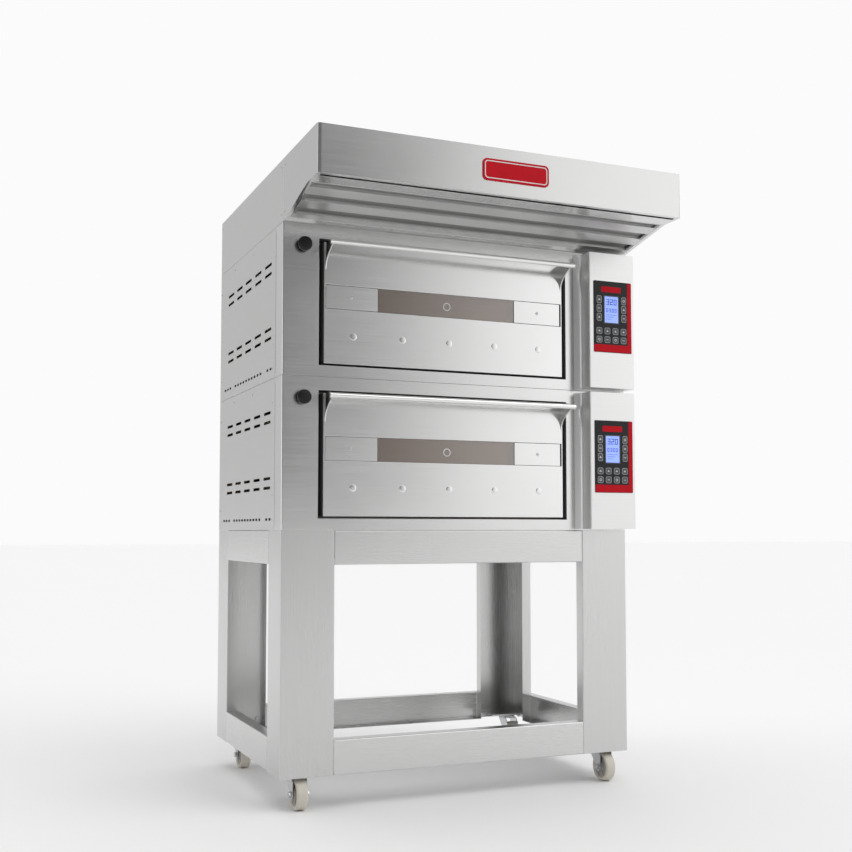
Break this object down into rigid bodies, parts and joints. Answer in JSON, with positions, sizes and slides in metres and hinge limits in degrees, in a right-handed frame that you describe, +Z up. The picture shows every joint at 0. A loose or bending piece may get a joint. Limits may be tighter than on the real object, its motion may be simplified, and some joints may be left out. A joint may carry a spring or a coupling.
{
  "type": "deck pizza oven",
  "caption": "Stacked deck pizza oven with drop-down glazed doors, side control panels, overhanging extraction hood and open castored stand.",
  "frame": {"origin": "middle of the bounding box, on the floor", "axes": "+Z up, doors and controls face -Y, control boxes at +X"},
  "size_m": [1.03, 1.032, 1.7213],
  "materials": {
    "satin_steel": "satin, grain along the length",
    "stand_steel": "satin",
    "bright_steel": "polished",
    "zinc_steel": "bright zinc plate",
    "liner_steel": "heat-dulled",
    "element_steel": "matt dark sheath",
    "mineral_wool": "fibrous",
    "fired_clay": "rough fired clay",
    "bronze_glass": "bronze tinted",
    "keypad_film": "semi-gloss printed film",
    "black_plastic": "satin black",
    "nylon": "satin"
  },
  "bodies": {
    "frame": {"leg_front_left": "stand_steel", "leg_front_right": "stand_steel", "leg_rear_left": "stand_steel", "leg_rear_right": "stand_steel", "rail_top_front": "stand_steel", "rail_top_rear": "stand_steel", "rail_top_left": "stand_steel", "rail_top_right": "stand_steel", "rail_bottom_front": "stand_steel", "rail_bottom_rear": "stand_steel", "rail_bottom_left": "stand_steel", "rail_bottom_right": "stand_steel", "lower_front_frame": "satin_steel", "lower_side_left": "satin_steel", "lower_side_right": "satin_steel", "lower_rear_panel": "satin_steel", "lower_base_tray": "satin_steel", "lower_top_cover": "satin_steel", "lower_chamber_liner": "liner_steel", "lower_insulation": "mineral_wool", "lower_baking_stone": "fired_clay", "lower_element_top": "element_steel", "lower_element_bottom": "element_steel", "lower_control_box": "satin_steel", "lower_control_keypad": "keypad_film", "upper_front_frame": "satin_steel", "upper_side_left": "satin_steel", "upper_side_right": "satin_steel", "upper_rear_panel": "satin_steel", "upper_base_tray": "satin_steel", "upper_top_cover": "satin_steel", "upper_chamber_liner": "liner_steel", "upper_insulation": "mineral_wool", "upper_baking_stone": "fired_clay", "upper_element_top": "element_steel", "upper_element_bottom": "element_steel", "upper_control_box": "satin_steel", "upper_control_keypad": "keypad_film", "hood_canopy": "satin_steel", "hood_housing": "satin_steel", "hood_baffle_filter": "satin_steel", "hood_duct_collar": "satin_steel"},
    "lower_door": {"lower_door_shell": "satin_steel", "lower_door_liner": "liner_steel", "lower_door_glass": "bronze_glass", "lower_door_handle": "bright_steel"},
    "lower_damper": {"lower_steam_damper": "black_plastic"},
    "upper_door": {"upper_door_shell": "satin_steel", "upper_door_liner": "liner_steel", "upper_door_glass": "bronze_glass", "upper_door_handle": "bright_steel"},
    "upper_damper": {"upper_steam_damper": "black_plastic"},
    "fork_front_left": {"castor_fork_front_left": "zinc_steel"},
    "wheel_front_left": {"castor_wheel_front_left": "nylon"},
    "fork_front_right": {"castor_fork_front_right": "zinc_steel"},
    "wheel_front_right": {"castor_wheel_front_right": "nylon"},
    "fork_rear_left": {"castor_fork_rear_left": "zinc_steel"},
    "wheel_rear_left": {"castor_wheel_rear_left": "nylon"},
    "fork_rear_right": {"castor_fork_rear_right": "zinc_steel"},
    "wheel_rear_right": {"castor_wheel_rear_right": "nylon"}
  },
  "joints": [
    {"name": "damper_lower", "type": "slide", "parent": "frame", "child": "lower_damper", "axis": [0, -1, 0], "range_m": [0, 0.06]},
    {"name": "door_lower", "type": "hinge", "parent": "frame", "child": "lower_door", "pos_m": [0, -0.224, 0.751], "axis": [1, 0, 0], "range_deg": [0, 90]},
    {"name": "damper_upper", "type": "slide", "parent": "frame", "child": "upper_damper", "axis": [0, -1, 0], "range_m": [0, 0.06]},
    {"name": "door_upper", "type": "hinge", "parent": "frame", "child": "upper_door", "pos_m": [0, -0.224, 1.151], "axis": [1, 0, 0], "range_deg": [0, 90]},
    {"name": "swivel_front_left", "type": "hinge", "parent": "frame", "child": "fork_front_left", "pos_m": [-0.455, -0.164, 0.098], "axis": [0, 0, 1], "continuous": true},
    {"name": "wheel_front_left", "type": "hinge", "parent": "fork_front_left", "child": "wheel_front_left", "pos_m": [-0.455, -0.194, 0.04], "axis": [1, 0, 0], "continuous": true},
    {"name": "swivel_front_right", "type": "hinge", "parent": "frame", "child": "fork_front_right", "pos_m": [0.455, -0.164, 0.098], "axis": [0, 0, 1], "continuous": true},
    {"name": "wheel_front_right", "type": "hinge", "parent": "fork_front_right", "child": "wheel_front_right", "pos_m": [0.455, -0.194, 0.04], "axis": [1, 0, 0], "continuous": true},
    {"name": "swivel_rear_left", "type": "hinge", "parent": "frame", "child": "fork_rear_left", "pos_m": [-0.455, 0.416, 0.098], "axis": [0, 0, 1], "continuous": true},
    {"name": "wheel_rear_left", "type": "hinge", "parent": "fork_rear_left", "child": "wheel_rear_left", "pos_m": [-0.455, 0.386, 0.04], "axis": [1, 0, 0], "continuous": true},
    {"name": "swivel_rear_right", "type": "hinge", "parent": "frame", "child": "fork_rear_right", "pos_m": [0.455, 0.416, 0.098], "axis": [0, 0, 1], "continuous": true},
    {"name": "wheel_rear_right", "type": "hinge", "parent": "fork_rear_right", "child": "wheel_rear_right", "pos_m": [0.455, 0.386, 0.04], "axis": [1, 0, 0], "continuous": true}
  ]
}
